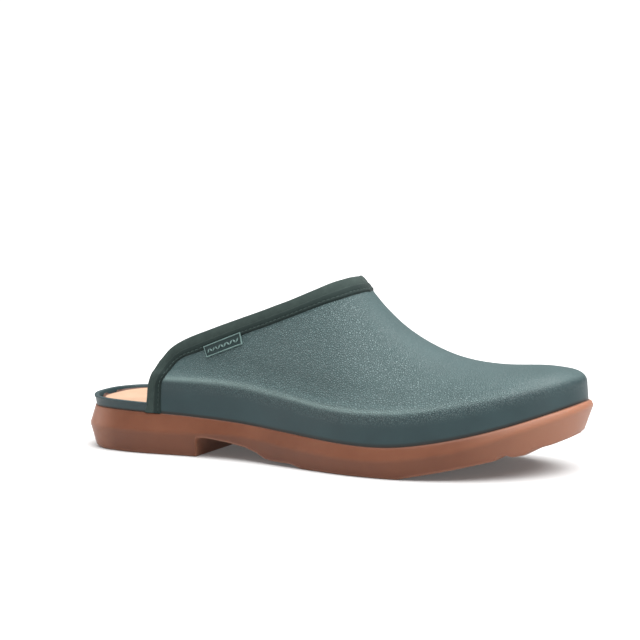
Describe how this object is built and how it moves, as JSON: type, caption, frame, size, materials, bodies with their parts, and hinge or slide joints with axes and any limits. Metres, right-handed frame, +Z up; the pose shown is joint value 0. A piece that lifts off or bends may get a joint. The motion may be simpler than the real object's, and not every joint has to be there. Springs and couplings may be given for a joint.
{
  "type": "garden clog",
  "caption": "Backless rubber garden clog for the right foot: pebbled vamp with bound topline on a gum sole with block heel, arch and toe spring, and a footbed that lifts at the heel.",
  "frame": {"origin": "on the ground, under the middle of the shoe's box", "axes": "+X towards the toe, -Y towards the outer side of the foot, +Z up"},
  "size_m": [0.2825, 0.1052, 0.0977],
  "materials": {
    "sole_rubber": "moulded gum rubber, satin, slightly translucent",
    "upper_rubber": "moulded dark green rubber, pebbled above the shoulder, smooth below",
    "badge_rubber": "moulded dark green rubber, satin",
    "binding_tape": "woven dark green binding tape",
    "thread": "dark green sewing thread",
    "lining_jersey": "knitted cotton jersey",
    "insole_board": "pressed fibre board, matt",
    "footbed_foam": "brown latex foam",
    "footbed_leather": "natural vegetable-tanned leather, matt"
  },
  "bodies": {
    "clog": {"outsole": "sole_rubber", "heel_rim": "upper_rubber", "insole_board": "insole_board", "upper": "upper_rubber", "lining": "lining_jersey", "topline_binding": "binding_tape", "binding_thread": "thread", "side_badge": "badge_rubber", "footbed_core_front": "footbed_foam", "footbed_cover_front": "footbed_leather"},
    "footbed_heel": {"footbed_core_heel": "footbed_foam", "footbed_cover_heel": "footbed_leather"}
  },
  "joints": [
    {"name": "footbed_lift", "type": "hinge", "parent": "clog", "child": "footbed_heel", "pos_m": [-0.02568, 0, 0.02294], "axis": [0, 1, 0], "range_deg": [0, 15]}
  ]
}
